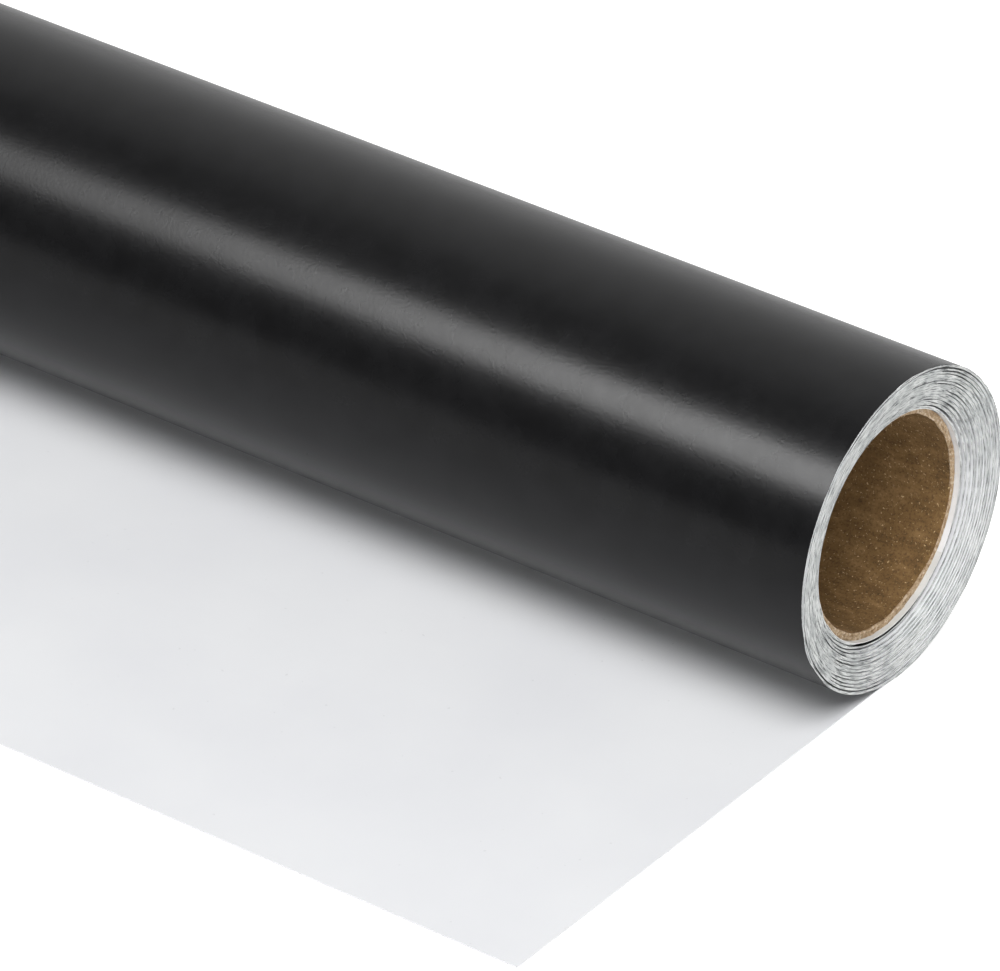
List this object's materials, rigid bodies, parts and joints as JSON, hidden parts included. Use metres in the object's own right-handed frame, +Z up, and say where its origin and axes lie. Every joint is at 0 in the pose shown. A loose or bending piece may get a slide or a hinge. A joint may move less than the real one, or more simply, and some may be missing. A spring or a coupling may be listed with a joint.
{
  "type": "roll of sign vinyl",
  "caption": "Roll of black self-adhesive sign vinyl with white release liner wound on a thin paper core, its free end laid out flat in front, liner side up.",
  "frame": {"origin": "centre of the core's bore, half-way along the roll", "axes": "+X along the core, -Y the way the free end lies, +Z up from the surface that the roll lies on"},
  "size_m": [0.3048, 0.0884, 0.0382],
  "materials": {
    "vinyl_film": "satin black calendered vinyl with a fine grain",
    "liner": "smooth white silicone-coated release paper",
    "kraft_lining": "raw brown kraft paper",
    "core_board": "raw pale board, torn at the cut ends",
    "tape": "thin double-sided tissue tape"
  },
  "bodies": {
    "outer_wrap": {"outer_turn_film": "vinyl_film", "outer_turn_liner": "liner"},
    "roll": {"core_inner_ply": "kraft_lining", "core_middle_ply": "core_board", "core_outer_ply": "core_board", "starting_tape": "tape", "wound_liner": "liner", "wound_film": "vinyl_film"},
    "free_end": {"free_end_film": "vinyl_film", "free_end_liner": "liner"},
    "curl_1": {"curl_film_1": "vinyl_film", "curl_liner_1": "liner"},
    "curl_2": {"curl_film_2": "vinyl_film", "curl_liner_2": "liner"},
    "curl_3": {"curl_film_3": "vinyl_film", "curl_liner_3": "liner"},
    "curl_4": {"curl_film_4": "vinyl_film", "curl_liner_4": "liner"},
    "curl_5": {"curl_film_5": "vinyl_film", "curl_liner_5": "liner"},
    "curl_6": {"curl_film_6": "vinyl_film", "curl_liner_6": "liner"}
  },
  "joints": [
    {"name": "roll_spin", "type": "hinge", "parent": "outer_wrap", "child": "roll", "pos_m": [0, 0, 0], "axis": [1, 0, 0], "range_deg": [0, 89.5]},
    {"name": "free_end_draw", "type": "slide", "parent": "outer_wrap", "child": "free_end", "axis": [0, 1, 0], "range_m": [0, 0.03], "deforming": ["free_end_film", "free_end_liner"]},
    {"name": "curl_1_bend", "type": "hinge", "parent": "free_end", "child": "curl_1", "pos_m": [0, -0.0393, -0.01889], "axis": [-1, 0, 0], "range_deg": [0, 15]},
    {"name": "curl_2_bend", "type": "hinge", "parent": "curl_1", "child": "curl_2", "pos_m": [0, -0.0443, -0.01889], "axis": [-1, 0, 0], "range_deg": [0, 15]},
    {"name": "curl_3_bend", "type": "hinge", "parent": "curl_2", "child": "curl_3", "pos_m": [0, -0.0493, -0.01889], "axis": [-1, 0, 0], "range_deg": [0, 15]},
    {"name": "curl_4_bend", "type": "hinge", "parent": "curl_3", "child": "curl_4", "pos_m": [0, -0.0543, -0.01889], "axis": [-1, 0, 0], "range_deg": [0, 15]},
    {"name": "curl_5_bend", "type": "hinge", "parent": "curl_4", "child": "curl_5", "pos_m": [0, -0.0593, -0.01889], "axis": [-1, 0, 0], "range_deg": [0, 15]},
    {"name": "curl_6_bend", "type": "hinge", "parent": "curl_5", "child": "curl_6", "pos_m": [0, -0.0643, -0.01889], "axis": [-1, 0, 0], "range_deg": [0, 15]}
  ],
  "couplings": [
    {"joint": "free_end_draw", "follows": "roll_spin", "m_per_rad": 0.01917},
    {"joint": "curl_2_bend", "follows": "curl_1_bend", "ratio": 1},
    {"joint": "curl_3_bend", "follows": "curl_1_bend", "ratio": 1},
    {"joint": "curl_4_bend", "follows": "curl_1_bend", "ratio": 1},
    {"joint": "curl_5_bend", "follows": "curl_1_bend", "ratio": 1},
    {"joint": "curl_6_bend", "follows": "curl_1_bend", "ratio": 1}
  ]
}
